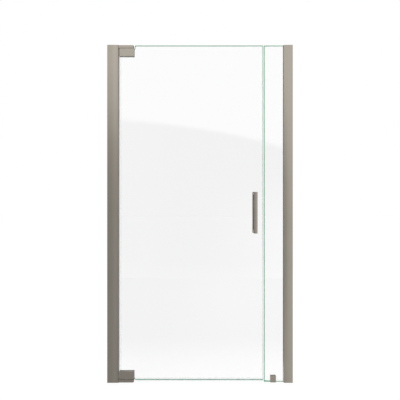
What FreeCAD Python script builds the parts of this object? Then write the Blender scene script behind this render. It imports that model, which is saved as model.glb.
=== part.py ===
import FreeCAD, Part
import math
import os

os.makedirs("parts", exist_ok=True)

# A framed pivot shower door: a pivoting glass door between two corner clamps, beside a narrow fixed
# panel of glass, between two telescoping jambs that are screwed to the walls of a shower opening.
# X runs across the opening, Y runs into the shower, Z is up, all in millimetres. The origin is on the
# curb, midway between the walls, in the middle of the glass.

# ---- The unit ------------------------------------------------------------------------------------
opening_width = 1005.0         # wall to wall, with both wall channels pushed right into the jambs
unit_height = 1829.0
glass_thickness = 10.0
glass_arris = 0.8              # bevel that is ground on the edges of both panes
glass_corner_radius = 6.0      # inner corners of the notches and cut-outs in the door glass
gasket_thickness = 1.0
gasket_inset = 0.5             # of a clamp gasket behind the edge of its plates

# ---- Wall channels and their jambs ---------------------------------------------------------------
channel_web = 2.0              # wall of the channel that is screwed to the building
channel_leg_length = 30.0
channel_leg_wall = 1.8
channel_fit = 0.4              # gap on each side between channel and jamb
channel_top_gap = 2.0          # from the top of the channel to the jamb's cap
wall_screw_radius = 2.5
wall_screw_outer_spacing = 1530.0
wall_screw_inner_spacing = 530.0
adjust_travel = 15.0           # how far a jamb slides out over its channel
jamb_depth = 38.0
jamb_wall = 2.0
jamb_corner_radius = 1.2
jamb_ease_width = 18.0         # slope on the jamb's faces towards the glass, and how deep it falls
jamb_ease_drop = 1.0
jamb_wall_gap = 0.5            # from the edges of the jamb's legs to the building's wall
pivot_jamb_width = 61.0
pivot_jamb_box = 29.0          # closed box of the pivot jamb that holds the arms
panel_jamb_width = 49.0
cap_thickness = 2.0
cap_tongue_width = 3.8
cap_tongue_length = 10.0

# ---- Lock screws between channel and jamb --------------------------------------------------------
lock_from_wall = 8.5
lock_spacing = 700.0
lock_screw_radius = 2.0
lock_hole_clearance = 0.3
lock_head_radius = 4.0
lock_head_height = 2.6
lock_nut_side = 8.0
lock_nut_thickness = 3.0
part_clearance = 0.3           # between pieces that slide past each other

# ---- Pivot arms, pins and bushes -----------------------------------------------------------------
pivot_setback = 42.0           # from the jamb's face to the pivot axis
arm_height = 15.2
arm_depth = 27.0
arm_reach = 40.5               # from the pivot axis to the nose of the arm
arm_nose_radius = 6.0
arm_plan_radius = 5.0
arm_fit = 0.2                  # round the arm in the notch and the box of the jamb
tang_height = 45.0
arm_screw_radius = 2.5
arm_screw_spacing = 15.0
arm_screw_top_margin = 10.0
arm_screw_depth = 12.0
pin_radius = 6.0
pin_head_radius = 8.0
pin_head_height = 4.0
pin_engagement = 22.0          # length of pin inside the bush
pin_chamfer = 1.0
press_clearance = 0.01
running_clearance = 0.05       # pin in bush, on the radius
thread_clearance = 0.02
bush_wall = 2.45
bush_flange_radius = 10.5
bush_flange_thickness = 1.3
pivot_gap = 1.6                # between the arm and the clamp
washer_clearance = 0.1

# ---- Corner clamps -------------------------------------------------------------------------------
clamp_reach = 42.0             # from the pivot axis to the clamp's edge on the door
clamp_jamb_gap = 4.0
clamp_height = 43.7
clamp_plate_thickness = 8.15
clamp_edge_radius = 1.0
core_height = 28.0
core_ear_reach = 27.0
core_barrel_width = 26.0
core_barrel_depth = 24.0
core_corner_radius = 5.0
core_pocket_fit = 0.2
core_ear_clearance = 0.3       # between the ear of the core and a clamp plate
cutout_fit = 1.6               # round the core in the glass
clamp_screw_radius = 3.0
clamp_screw_offset = 20.0      # from the pivot axis, on both sides
clamp_screw_height = 21.0      # above the clamp's edge
clamp_screw_head_radius = 5.6
clamp_screw_thread = 5.0       # length in the front plate

# ---- Door glass and its seals --------------------------------------------------------------------
door_side_gap = 5.0            # from the pivot jamb to the door glass
door_bottom_gap = 13.0
strike_gap = 4.5               # from the door glass to the fixed panel
notch_clearance = 1.5          # over the clamp's edge
notch_nose_gap = 5.5           # past the nose of the arm
seal_wall = 1.0
seal_leg = 8.0
seal_tip_gap = 0.6             # from the hinge seal's fin to the jamb
strike_tip_gap = 0.3
sweep_leg = 11.0
sweep_base = 1.5
sweep_end_gap = 3.0            # from the notch to the start of the sweep
sweep_floor_gap = 4.0
sweep_fin = 1.2
seal_end_gap = 1.5             # from a seal to the clamp that it meets

# ---- Pulls ---------------------------------------------------------------------------------------
pull_height = 921.0            # middle of the pulls above the curb
pull_from_edge = 44.5          # middle of the pulls to the free edge of the door
pull_length = 224.0
pull_width = 21.0
pull_thickness = 12.0
pull_crown = 1.2
pull_edge_radius = 1.5
pull_spacing = 203.2           # between the posts
pull_post_radius = 9.5
pull_stand_off = 24.0          # length of a post
pull_stud_radius = 4.0
pull_stud_depth = 19.0         # of the stud in each post
pull_hole_radius = 6.0
pull_washer_rim = 0.4          # of a washer past its post
pull_sleeve_clearance = 0.1
set_screw_radius = 2.0

# ---- Fixed panel and its foot --------------------------------------------------------------------
panel_width = 105.0            # from the free edge to the face of the panel jamb
panel_jamb_cover = 12.0        # of the glass inside the jamb
pocket_depth = 16.0
pocket_wall = 1.8
glazing_gasket = 2.2
edge_block_length = 50.0
edge_block_margin = 200.0
foot_middle = 49.0             # from the free edge of the panel to the middle of the foot
foot_width = 30.0
foot_height = 36.0
foot_cheek = 6.25
foot_base = 2.0
foot_edge_radius = 1.0
foot_hole_radius = 2.25
foot_screw_radius = 2.5
foot_screw_spacing = 15.0
foot_screw_height = 20.0
stop_lip_length = 9.0
stop_lip_wall = 1.2

# ---- Worked out from the sizes above -------------------------------------------------------------
wall_x = opening_width / 2
half_glass = glass_thickness / 2
jamb_half = jamb_depth / 2
jamb_inner = jamb_half - jamb_wall
channel_half = jamb_inner - channel_fit
channel_inner = channel_half - channel_leg_wall
box_inner = jamb_inner - jamb_ease_drop
jamb_top = unit_height - cap_thickness
channel_height = jamb_top - channel_top_gap
middle_height = unit_height / 2

pivot_open_x = -(wall_x - jamb_wall_gap)
pivot_face_x = pivot_open_x + pivot_jamb_width
pivot_box_x = pivot_face_x - pivot_jamb_box
panel_open_x = wall_x - jamb_wall_gap
panel_face_x = panel_open_x - panel_jamb_width

pivot_x = pivot_face_x + pivot_setback
arm_half = arm_depth / 2
pin_top = arm_height + pivot_gap + pin_engagement
bush_bore = pin_radius + running_clearance
bush_radius = bush_bore + bush_wall
bush_length = pin_engagement + pivot_gap

clamp_low = arm_height + pivot_gap
clamp_high = clamp_low + clamp_height
clamp_left = pivot_face_x + clamp_jamb_gap
clamp_right = pivot_x + clamp_reach
clamp_inner = half_glass + gasket_thickness
clamp_outer = clamp_inner + clamp_plate_thickness
core_top = clamp_low + core_height
core_screw_z = clamp_low + clamp_screw_height

door_left = pivot_face_x + door_side_gap
panel_left = panel_face_x - panel_width
door_right = panel_left - strike_gap
notch_right = pivot_x + arm_reach + notch_nose_gap
notch_high = clamp_low + notch_clearance
cutout_half = core_ear_reach + cutout_fit
cutout_top = core_top + cutout_fit
pull_x = door_right - pull_from_edge
pull_heights = [pull_height - pull_spacing / 2, pull_height + pull_spacing / 2]
post_foot = half_glass + gasket_thickness
post_head = post_foot + pull_stand_off
set_screw_y = post_foot + pull_stud_depth / 2

panel_bottom = foot_base + gasket_thickness
panel_right = panel_face_x + panel_jamb_cover
pocket_half = half_glass + glazing_gasket
pocket_end = panel_face_x + pocket_depth
foot_x = panel_left + foot_middle
foot_left = foot_x - foot_width / 2
foot_right = foot_x + foot_width / 2
foot_half = half_glass + gasket_thickness + foot_cheek
foot_screw_xs = [foot_x - foot_screw_spacing / 2, foot_x + foot_screw_spacing / 2]

lock_heights = [middle_height - lock_spacing, middle_height, middle_height + lock_spacing]
wall_screw_heights = [
    middle_height + way * spacing / 2
    for spacing in (wall_screw_outer_spacing, wall_screw_inner_spacing)
    for way in (-1, 1)
]
arm_screw_x = pivot_box_x + pivot_jamb_box / 2
arm_screw_high = cap_thickness + tang_height - arm_screw_top_margin
arm_screw_heights = [arm_screw_high - arm_screw_spacing, arm_screw_high]
clamp_screw_xs = [pivot_x - clamp_screw_offset, pivot_x + clamp_screw_offset]

ACROSS = FreeCAD.Vector(1, 0, 0)
INWARD = FreeCAD.Vector(0, 1, 0)
UP = FreeCAD.Vector(0, 0, 1)
TOUCH = 0.001                  # places closer than this are the same place


# ---- Shapes that the pieces share ----------------------------------------------------------------
def point(x, y, z):
    return FreeCAD.Vector(x, y, z)


def block(x0, x1, y0, y1, z0, z1):
    """A box between two opposite corners."""
    corner = point(min(x0, x1), min(y0, y1), min(z0, z1))
    return Part.makeBox(abs(x1 - x0), abs(y1 - y0), abs(z1 - z0), corner)


def rod(start, direction, radius, length):
    return Part.makeCylinder(radius, length, start, direction)


def bored(shape, start, direction, radius, length):
    return shape.cut(rod(start, direction, radius, length))


def prism(outline, travel):
    """A closed outline of points, swept along a vector."""
    wire = Part.makePolygon([*outline, outline[0]])
    return Part.Face(wire).extrude(travel)


def standing_prism(outline, z0, z1):
    corners = [point(x, y, z0) for x, y in outline]
    return prism(corners, UP * (z1 - z0))


def edges_along(shape, direction, chosen):
    """The straight edges that lie along a direction and whose middle is chosen."""
    found = []
    for edge in shape.Edges:
        if not isinstance(edge.Curve, Part.Line):
            continue
        span = edge.Vertexes[-1].Point - edge.Vertexes[0].Point
        if abs(span.normalize().dot(direction)) > 1 - TOUCH and chosen(edge.CenterOfMass):
            found.append(edge)
    return found


def rounded(shape, direction, radius, chosen):
    edges = edges_along(shape, direction, chosen)
    return shape.makeFillet(radius, edges)


def edges_on_face(shape, height, chosen):
    """The edges that lie in the plane Y = height and whose middle is chosen."""
    found = []
    for edge in shape.Edges:
        box = edge.BoundBox
        flat = abs(box.YMin - height) < TOUCH and abs(box.YMax - height) < TOUCH
        if flat and chosen(edge.CenterOfMass):
            found.append(edge)
    return found


def anywhere(_):
    return True


def at_top(shape):
    """The same piece at the top of the door, upside down."""
    return shape.mirror(point(0, 0, middle_height), UP)


def outside(shape):
    """The piece on the rear of the glass, turned to the front."""
    return shape.mirror(point(0, 0, 0), INWARD)


def placed(shape, where, direction):
    """A shape that is modelled along Z at the origin, moved and turned."""
    moved = shape.copy()
    moved.Placement = FreeCAD.Placement(where, FreeCAD.Rotation(UP, direction))
    return moved


def hex_socket(radius, depth):
    corners = [
        point(radius * math.cos(math.radians(60 * k)), radius * math.sin(math.radians(60 * k)), -depth)
        for k in range(6)
    ]
    return prism(corners, UP * (2 * depth))


def pan_screw(radius, length, head_radius, head_height):
    """A screw with a rounded head on Z = 0 and a shank below it."""
    head = rod(point(0, 0, 0), UP, head_radius, head_height)
    rim = [edge for edge in head.Edges if edge.BoundBox.ZMin > head_height - TOUCH]
    head = head.makeFillet(head_height * 0.45, rim)
    socket = hex_socket(radius * 0.7, head_height * 0.6)
    head = head.cut(placed(socket, point(0, 0, head_height), UP))
    shank = rod(point(0, 0, -length), UP, radius, length)
    return head.fuse(shank)


def flat_screw(radius, length, head_radius):
    """A countersunk screw, flush at Z = 0."""
    sink = head_radius - radius
    head = Part.makeCone(radius, head_radius, sink, point(0, 0, -sink), UP)
    shank = rod(point(0, 0, -length), UP, radius, length)
    return head.fuse(shank).cut(hex_socket(radius * 0.75, sink))


def grub_screw(radius, length):
    """A set screw whose socket end is at Z = 0."""
    body = rod(point(0, 0, -length), UP, radius, length)
    return body.cut(hex_socket(radius * 0.6, length * 0.4))


def group(shapes):
    return Part.makeCompound(shapes)


# ---- Wall channels, jambs and caps ---------------------------------------------------------------
def wall_channel(side):
    """An aluminium U that is screwed to the wall, with slots for the lock screws."""
    wall = side * wall_x
    inner_face = wall - side * channel_web
    leg_end = wall - side * channel_leg_length
    channel = block(wall, leg_end, -channel_half, channel_half, 0, channel_height)
    hollow = block(inner_face, leg_end, -channel_inner, channel_inner, 0, channel_height)
    channel = channel.cut(hollow)
    for z in wall_screw_heights:
        channel = bored(channel, point(wall, 0, z), ACROSS * -side, wall_screw_radius, channel_web)
    for z in lock_heights:
        channel = channel.cut(lock_slot(side, z))
    return channel


def lock_slot(side, z):
    """A slot as long as the travel, which starts at the screw's place at rest."""
    radius = lock_screw_radius + part_clearance
    start = side * (wall_x - lock_from_wall)
    end = start - side * adjust_travel
    slot = block(start, end, channel_inner, channel_half, z - radius, z + radius)
    for x in (start, end):
        slot = slot.fuse(rod(point(x, channel_inner, z), INWARD, radius, channel_leg_wall))
    return slot


def lock_screws(side):
    """Pan-head screws through the jamb's rear leg into the square nuts."""
    length = jamb_half - channel_inner + part_clearance + lock_nut_thickness
    screw = pan_screw(lock_screw_radius, length, lock_head_radius, lock_head_height)
    x = side * (wall_x - lock_from_wall)
    return group([placed(screw, point(x, jamb_half, z), INWARD) for z in lock_heights])


def lock_nuts(side):
    """Square nuts inside the channel."""
    x = side * (wall_x - lock_from_wall)
    half = lock_nut_side / 2
    rear = channel_inner - part_clearance
    front = rear - lock_nut_thickness
    nuts = []
    for z in lock_heights:
        nut = block(x - half, x + half, front, rear, z - half, z + half)
        radius = lock_screw_radius + thread_clearance
        nuts.append(bored(nut, point(x, front, z), INWARD, radius, lock_nut_thickness))
    return group(nuts)


def lock_holes(jamb, side):
    """The jamb with a hole in its rear leg for each lock screw."""
    x = side * (wall_x - lock_from_wall)
    radius = lock_screw_radius + lock_hole_clearance
    for z in lock_heights:
        jamb = bored(jamb, point(x, jamb_inner, z), INWARD, radius, jamb_wall)
    return jamb


def jamb_outline(open_x, face_x, z0, z1):
    """The outer form that a jamb and its cap share, sloping gently towards the glass."""
    inward = 1 if open_x > face_x else -1
    slope_x = face_x + inward * jamb_ease_width
    slope_y = jamb_half - jamb_ease_drop
    half = [(open_x, jamb_half), (slope_x, jamb_half), (face_x, slope_y)]
    other_half = [(x, -y) for x, y in reversed(half)]
    form = standing_prism(half + other_half, z0, z1)
    return rounded(form, UP, jamb_corner_radius, lambda middle: abs(middle.x - face_x) < TOUCH)


def pivot_jamb():
    """The jamb that carries the door: open towards the wall, with a closed box for the arms."""
    jamb = jamb_outline(pivot_open_x, pivot_face_x, 0, jamb_top)
    jamb = jamb.cut(block(pivot_open_x, pivot_box_x, -jamb_inner, jamb_inner, 0, jamb_top))
    box_start = pivot_box_x + jamb_wall
    box_end = pivot_face_x - jamb_wall
    jamb = jamb.cut(block(box_start, box_end, -box_inner, box_inner, 0, jamb_top))
    notch_half = arm_half + arm_fit
    notch_top = arm_height + arm_fit
    for z0, z1 in ((0, notch_top), (unit_height - notch_top, jamb_top)):
        jamb = jamb.cut(block(box_end, pivot_face_x, -notch_half, notch_half, z0, z1))
    for z in arm_screw_heights:
        for height in (z, unit_height - z):
            start = point(arm_screw_x, box_inner, height)
            jamb = bored(jamb, start, INWARD, arm_screw_radius + arm_fit, jamb_half - box_inner)
    return lock_holes(jamb, -1)


def panel_jamb():
    """The jamb that holds the fixed panel: open towards the wall, with a pocket for the glass."""
    jamb = jamb_outline(panel_open_x, panel_face_x, 0, jamb_top)
    web_end = pocket_end + jamb_wall
    jamb = jamb.cut(block(web_end, panel_open_x, -jamb_inner, jamb_inner, 0, jamb_top))
    jamb = jamb.cut(block(panel_face_x, pocket_end, -pocket_half, pocket_half, 0, jamb_top))
    chamber_start = panel_face_x + jamb_wall
    chamber_low = pocket_half + pocket_wall
    for way in (-1, 1):
        chamber = block(chamber_start, pocket_end, way * chamber_low, way * box_inner, 0, jamb_top)
        jamb = jamb.cut(chamber)
    return lock_holes(jamb, 1)


def jamb_cap(open_x, face_x, web_x, side):
    """A plate on the end of a jamb, with a tongue that is pushed down against the jamb's web."""
    plate = jamb_outline(open_x, face_x, jamb_top, unit_height)
    tongue_half = channel_inner - 2 * part_clearance
    tongue_end = web_x + side * cap_tongue_width
    low = jamb_top - cap_tongue_length
    tongue = block(web_x, tongue_end, -tongue_half, tongue_half, low, jamb_top)
    return plate.fuse(tongue).removeSplitter()


def pivot_jamb_cap():
    return jamb_cap(pivot_open_x, pivot_face_x, pivot_box_x, -1)


def panel_jamb_cap():
    """The same cap, slotted for the panel glass, which is as tall as the unit."""
    cap = jamb_cap(panel_open_x, panel_face_x, pocket_end + jamb_wall, 1)
    slot_half = half_glass + part_clearance
    slot_end = panel_right + part_clearance
    return cap.cut(block(panel_face_x, slot_end, -slot_half, slot_half, jamb_top, unit_height))


# ---- Pivot hardware, made for the bottom of the door ----------------------------------------------
def pivot_arm():
    """A solid arm that stands out of the jamb, with a tang that is screwed inside the jamb's box."""
    nose = pivot_x + arm_reach
    arm = block(pivot_face_x, nose, -arm_half, arm_half, 0, arm_height)
    arm = rounded(arm, UP, arm_plan_radius, lambda middle: middle.x > pivot_x)
    corner = block(nose - arm_nose_radius, nose, -arm_half, arm_half, 0, arm_nose_radius)
    round_start = point(nose - arm_nose_radius, -arm_half, arm_nose_radius)
    corner = corner.cut(rod(round_start, INWARD, arm_nose_radius, arm_depth))
    arm = arm.cut(corner)
    box_start = pivot_box_x + jamb_wall + arm_fit
    box_end = pivot_face_x - jamb_wall - arm_fit
    tang_half = box_inner - arm_fit
    neck = block(box_start, pivot_face_x, -arm_half, arm_half, cap_thickness, arm_height)
    tang_top = cap_thickness + tang_height
    tang = block(box_start, box_end, -tang_half, tang_half, cap_thickness, tang_top)
    arm = arm.fuse([neck, tang]).removeSplitter()
    arm = bored(arm, point(pivot_x, 0, 0), UP, pin_radius + press_clearance, arm_height)
    head_room = pin_head_height + part_clearance
    arm = bored(arm, point(pivot_x, 0, 0), UP, pin_head_radius + press_clearance, head_room)
    for z in arm_screw_heights:
        start = point(arm_screw_x, tang_half - arm_screw_depth, z)
        arm = bored(arm, start, INWARD, arm_screw_radius + thread_clearance, arm_screw_depth)
    return arm


def arm_screws():
    """Screws through the rear of the jamb into the tang, whose heads lie on the jamb's flat face."""
    length = jamb_half - box_inner + arm_fit + arm_screw_depth - part_clearance
    screw = pan_screw(arm_screw_radius, length, 2 * arm_screw_radius, arm_screw_radius)
    return group([placed(screw, point(arm_screw_x, jamb_half, z), INWARD) for z in arm_screw_heights])


def pivot_pin():
    """A stainless pin, headed below, that is pressed into the arm and runs in the bush."""
    low = part_clearance
    head = rod(point(pivot_x, 0, low), UP, pin_head_radius, pin_head_height)
    shank = rod(point(pivot_x, 0, low), UP, pin_radius, pin_top - low - pin_chamfer)
    tip_start = point(pivot_x, 0, pin_top - pin_chamfer)
    tip = Part.makeCone(pin_radius, pin_radius - pin_chamfer, pin_chamfer, tip_start, UP)
    return head.fuse([shank, tip]).removeSplitter()


def thrust_washer():
    """An acetal washer on the arm, which the flange of the bush turns on."""
    start = point(pivot_x, 0, arm_height)
    thickness = pivot_gap - washer_clearance
    washer = rod(start, UP, bush_flange_radius, thickness)
    return bored(washer, start, UP, bush_bore, thickness)


def pivot_bush():
    """A flanged nylon bush in the core of the clamp."""
    start = point(pivot_x, 0, clamp_low)
    bush = rod(start, UP, bush_radius, bush_length)
    bush = bush.fuse(rod(start, UP, bush_flange_radius, bush_flange_thickness))
    return bored(bush, start, UP, bush_bore, bush_length)


def clamp_core():
    """The block in the cut-out of the glass: a barrel for the bush and two ears for the screws."""
    barrel_x = core_barrel_width / 2
    barrel_y = core_barrel_depth / 2
    ear_y = clamp_inner - core_ear_clearance
    ear_x = core_ear_reach
    barrel = block(pivot_x - barrel_x, pivot_x + barrel_x, -barrel_y, barrel_y, clamp_low, core_top)
    ears = block(pivot_x - ear_x, pivot_x + ear_x, -ear_y, ear_y, notch_high, core_top)
    ears = rounded(ears, INWARD, core_corner_radius, lambda middle: middle.z > core_top - TOUCH)
    core = barrel.fuse(ears).removeSplitter()
    start = point(pivot_x, 0, clamp_low)
    core = bored(core, start, UP, bush_radius + press_clearance, bush_length + press_clearance)
    core = bored(core, start, UP, bush_flange_radius + press_clearance, bush_flange_thickness)
    for x in clamp_screw_xs:
        hole = point(x, -ear_y, core_screw_z)
        core = bored(core, hole, INWARD, clamp_screw_radius + part_clearance, 2 * ear_y)
    return core


def clamp_plate_blank():
    """The rear plate before its screw holes: eased edges outside, a pocket for the barrel inside."""
    plate = block(clamp_left, clamp_right, clamp_inner, clamp_outer, clamp_low, clamp_high)
    plate = plate.makeFillet(clamp_edge_radius, edges_on_face(plate, clamp_outer, anywhere))
    half = core_barrel_width / 2 + core_pocket_fit
    depth = core_barrel_depth / 2 + core_pocket_fit
    top = core_top + core_pocket_fit
    return plate.cut(block(pivot_x - half, pivot_x + half, clamp_inner, depth, clamp_low, top))


def rear_clamp_plate():
    """The plate on the shower side, countersunk for the clamp screws."""
    plate = clamp_plate_blank()
    sink = clamp_screw_head_radius - clamp_screw_radius
    for x in clamp_screw_xs:
        hole = point(x, clamp_inner, core_screw_z)
        plate = bored(plate, hole, INWARD, clamp_screw_radius + part_clearance, clamp_plate_thickness)
        low = point(x, clamp_outer - sink, core_screw_z)
        radii = (clamp_screw_radius + part_clearance, clamp_screw_head_radius + part_clearance)
        plate = plate.cut(Part.makeCone(*radii, sink, low, INWARD))
    return plate


def front_clamp_plate():
    """The plate on the room side: its face is plain, and its thread is blind."""
    plate = outside(clamp_plate_blank())
    radius = clamp_screw_radius + thread_clearance
    for x in clamp_screw_xs:
        hole = point(x, -clamp_inner, core_screw_z)
        plate = bored(plate, hole, INWARD * -1, radius, clamp_screw_thread + part_clearance)
    return plate


def clamp_gaskets():
    """Fibre gaskets between glass and plates, cut out like the glass."""
    right = clamp_right - gasket_inset
    top = clamp_high - gasket_inset
    rear = block(door_left, right, half_glass, clamp_inner, notch_high, top).cut(glass_cutout())
    return group([rear, outside(rear)])


def clamp_screws():
    length = 2 * clamp_inner + clamp_plate_thickness + clamp_screw_thread
    screw = flat_screw(clamp_screw_radius, length, clamp_screw_head_radius)
    return group([placed(screw, point(x, clamp_outer, core_screw_z), INWARD) for x in clamp_screw_xs])


# ---- Door glass and seals ------------------------------------------------------------------------
def glass_cutout():
    """What is cut from the glass for the core of a clamp, open below, with rounded upper corners."""
    left = pivot_x - cutout_half
    right = pivot_x + cutout_half
    cut = block(left, right, -clamp_inner, clamp_inner, 0, cutout_top)
    return rounded(cut, INWARD, glass_corner_radius, lambda middle: middle.z > clamp_low)


def glass_notch():
    """What is cut from the corner of the glass, so that it swings clear of the arm."""
    far_left = door_left - glass_thickness
    cut = block(far_left, notch_right, -clamp_inner, clamp_inner, -glass_thickness, notch_high)

    def inner_corner(middle):
        return middle.x > pivot_x and middle.z > 0

    return rounded(cut, INWARD, glass_corner_radius, inner_corner)


def with_arris(pane, chosen):
    """The pane with its outline bevelled on both faces."""
    edges = edges_on_face(pane, half_glass, chosen) + edges_on_face(pane, -half_glass, chosen)
    return pane.makeChamfer(glass_arris, edges)


def door_glass():
    """The toughened pane, notched and cut out for the pivots and drilled for the pulls."""
    pane = block(door_left, door_right, -half_glass, half_glass, door_bottom_gap, unit_height)
    cut = glass_notch().fuse(glass_cutout())
    pane = pane.cut(cut).cut(at_top(cut))
    pane = with_arris(pane, anywhere)
    for z in pull_heights:
        hole = point(pull_x, -half_glass, z)
        pane = bored(pane, hole, INWARD, pull_hole_radius, glass_thickness)
    return pane


def edge_seal(edge_x, way, tip_x):
    """Outline of a vinyl seal on a vertical edge of glass: a U with a fin. The way is out of the glass."""
    out = edge_x + way * seal_wall
    leg_x = edge_x - way * seal_leg
    y_in = half_glass
    y_out = half_glass + seal_wall
    fin = seal_wall / 2
    half = [(leg_x, y_in), (leg_x, y_out), (out, y_out), (out, fin), (tip_x, fin)]
    other_half = [(x, -y) for x, y in reversed(half)]
    return half + other_half + [(edge_x, -y_in), (edge_x, y_in)]


def door_hinge_seal():
    """The seal between the clamps, whose fin closes the gap to the pivot jamb."""
    outline = edge_seal(door_left, -1, pivot_face_x + seal_tip_gap)
    low = clamp_high + seal_end_gap
    return standing_prism(outline, low, unit_height - low)


def door_strike_seal():
    """The seal on the free edge of the door."""
    outline = edge_seal(door_right, 1, panel_left - seal_wall - strike_tip_gap)
    low = door_bottom_gap + sweep_leg + part_clearance
    return standing_prism(outline, low, unit_height)


def door_sweep():
    """The seal under the door: two legs that grip the glass and two fins that wipe the curb."""
    grip = door_bottom_gap + sweep_leg
    base = door_bottom_gap - sweep_base
    outer = half_glass + seal_wall
    fin_root = half_glass - sweep_fin
    start = notch_right + sweep_end_gap
    half = [
        (half_glass, door_bottom_gap),
        (half_glass, grip),
        (outer, grip),
        (outer, base),
        (outer, sweep_floor_gap),
        (outer - sweep_fin, sweep_floor_gap),
        (fin_root, base),
    ]
    other_half = [(-y, z) for y, z in reversed(half)]
    corners = [point(start, y, z) for y, z in half + other_half]
    return prism(corners, ACROSS * (door_right - start))


# ---- Pulls ---------------------------------------------------------------------------------------
def pull_bar():
    """The bar of the inner pull, flat towards the glass and gently crowned on the face."""
    half = pull_width / 2
    back = post_head
    low = pull_height - pull_length / 2
    shoulder = back + pull_thickness - pull_crown
    left_back = point(pull_x - half, back, low)
    right_back = point(pull_x + half, back, low)
    left = point(pull_x - half, shoulder, low)
    right = point(pull_x + half, shoulder, low)
    crown = point(pull_x, back + pull_thickness, low)
    edges = [
        Part.LineSegment(left_back, right_back).toShape(),
        Part.LineSegment(right_back, right).toShape(),
        Part.Arc(right, crown, left).toShape(),
        Part.LineSegment(left, left_back).toShape(),
    ]
    bar = Part.Face(Part.Wire(edges)).extrude(UP * pull_length)
    return bar.makeFillet(pull_edge_radius, bar.Edges)


def pull_on_posts():
    """The bar with its two posts, which are bored for the studs."""
    pull = pull_bar()
    for z in pull_heights:
        post = rod(point(pull_x, post_foot, z), INWARD, pull_post_radius, pull_stand_off)
        pull = pull.fuse(post)
    pull = pull.removeSplitter()
    depth = pull_stud_depth + part_clearance
    for z in pull_heights:
        start = point(pull_x, post_foot, z)
        pull = bored(pull, start, INWARD, pull_stud_radius + thread_clearance, depth)
    return pull


def inner_pull():
    """The pull on the shower side, with a set screw under each post."""
    pull = pull_on_posts()
    for z in pull_heights:
        hole = point(pull_x, set_screw_y, z - pull_post_radius)
        pull = bored(pull, hole, UP, set_screw_radius + thread_clearance, pull_post_radius)
    return pull


def outer_pull():
    """The pull on the room side, which hides the ends of the studs."""
    return outside(pull_on_posts())


def pull_studs():
    """Threaded studs that join both pulls through the glass."""
    half = post_foot + pull_stud_depth
    return group([rod(point(pull_x, -half, z), INWARD, pull_stud_radius, 2 * half) for z in pull_heights])


def pull_sleeves():
    """Nylon sleeves that keep the studs off the glass."""
    sleeves = []
    inside = pull_stud_radius + pull_sleeve_clearance
    for z in pull_heights:
        start = point(pull_x, -half_glass, z)
        sleeve = rod(start, INWARD, pull_hole_radius - pull_sleeve_clearance, glass_thickness)
        sleeves.append(bored(sleeve, start, INWARD, inside, glass_thickness))
    return group(sleeves)


def pull_washers():
    """Clear washers between the posts and the glass, on the shower side."""
    washers = []
    inside = pull_stud_radius + pull_sleeve_clearance
    for z in pull_heights:
        start = point(pull_x, half_glass, z)
        washer = rod(start, INWARD, pull_post_radius + pull_washer_rim, gasket_thickness)
        washers.append(bored(washer, start, INWARD, inside, gasket_thickness))
    return group(washers)


def pull_set_screws():
    """Set screws that hold the inner pull on its studs."""
    length = pull_post_radius - pull_stud_radius
    screw = grub_screw(set_screw_radius, length)
    lows = [z - pull_post_radius for z in pull_heights]
    return group([placed(screw, point(pull_x, set_screw_y, z), UP * -1) for z in lows])


# ---- Fixed panel ---------------------------------------------------------------------------------
def panel_glass():
    """The fixed pane beside the door, whose edge stands in the jamb's pocket."""
    pane = block(panel_left, panel_right, -half_glass, half_glass, panel_bottom, unit_height)
    return with_arris(pane, anywhere)


def panel_gasket():
    """The glazing gasket in the jamb's pocket, on the shower side of the glass."""
    start = panel_face_x + part_clearance
    end = panel_right + glazing_gasket
    return block(start, end, half_glass, pocket_half, 0, jamb_top)


def panel_edge_blocks():
    """Packers between the edge of the glass and the jamb, and one under its corner."""
    half = edge_block_length / 2
    heights = [edge_block_margin, middle_height, unit_height - edge_block_margin]
    blocks = [
        block(panel_right, pocket_end, -half_glass, half_glass, z - half, z + half) for z in heights
    ]
    start = panel_face_x + glazing_gasket
    blocks.append(block(start, panel_right, -half_glass, half_glass, 0, panel_bottom))
    return group(blocks)


def panel_stop_seal():
    """The seal on the free edge of the panel, with a lip behind the door that stops it."""
    edge = panel_left - seal_wall
    leg_x = panel_left + seal_leg
    outer = half_glass + seal_wall
    lip_front = outer + part_clearance
    lip_rear = lip_front + stop_lip_wall
    outline = [
        (leg_x, -outer),
        (leg_x, -half_glass),
        (panel_left, -half_glass),
        (panel_left, half_glass),
        (leg_x, half_glass),
        (leg_x, outer),
        (panel_left, lip_rear),
        (panel_left - stop_lip_length, lip_rear),
        (panel_left - stop_lip_length, lip_front),
        (edge, lip_front),
        (edge, -outer),
    ]
    return standing_prism(outline, panel_bottom, unit_height)


def panel_base_seals():
    """Clear strips under the panel, on both sides of the foot."""
    spans = [
        (panel_left, foot_left - part_clearance),
        (foot_right + part_clearance, panel_face_x + part_clearance),
    ]
    return group([block(x0, x1, -half_glass, half_glass, 0, panel_bottom) for x0, x1 in spans])


def foot_bracket():
    """The U on the curb that holds the panel upright, with a hole for one floor screw."""
    foot = block(foot_left, foot_right, -foot_half, foot_half, 0, foot_height)
    foot = foot.makeFillet(foot_edge_radius, [e for e in foot.Edges if e.BoundBox.ZMax > TOUCH])
    slot_half = half_glass + gasket_thickness
    foot = foot.cut(block(foot_left, foot_right, -slot_half, slot_half, foot_base, foot_height))
    foot = bored(foot, point(foot_x, 0, 0), UP, foot_hole_radius, foot_base)
    for x in foot_screw_xs:
        start = point(x, slot_half, foot_screw_height)
        foot = bored(foot, start, INWARD, foot_screw_radius + thread_clearance, foot_cheek)
    return foot


def foot_gasket():
    """A rubber U between the foot and the glass, holed over the floor screw."""
    outer = half_glass + gasket_thickness
    gasket = block(foot_left, foot_right, -outer, outer, foot_base, foot_height - gasket_thickness)
    inside = block(foot_left, foot_right, -half_glass, half_glass, panel_bottom, foot_height)
    gasket = gasket.cut(inside)
    return bored(gasket, point(foot_x, 0, foot_base), UP, 2 * foot_hole_radius, gasket_thickness)


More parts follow.
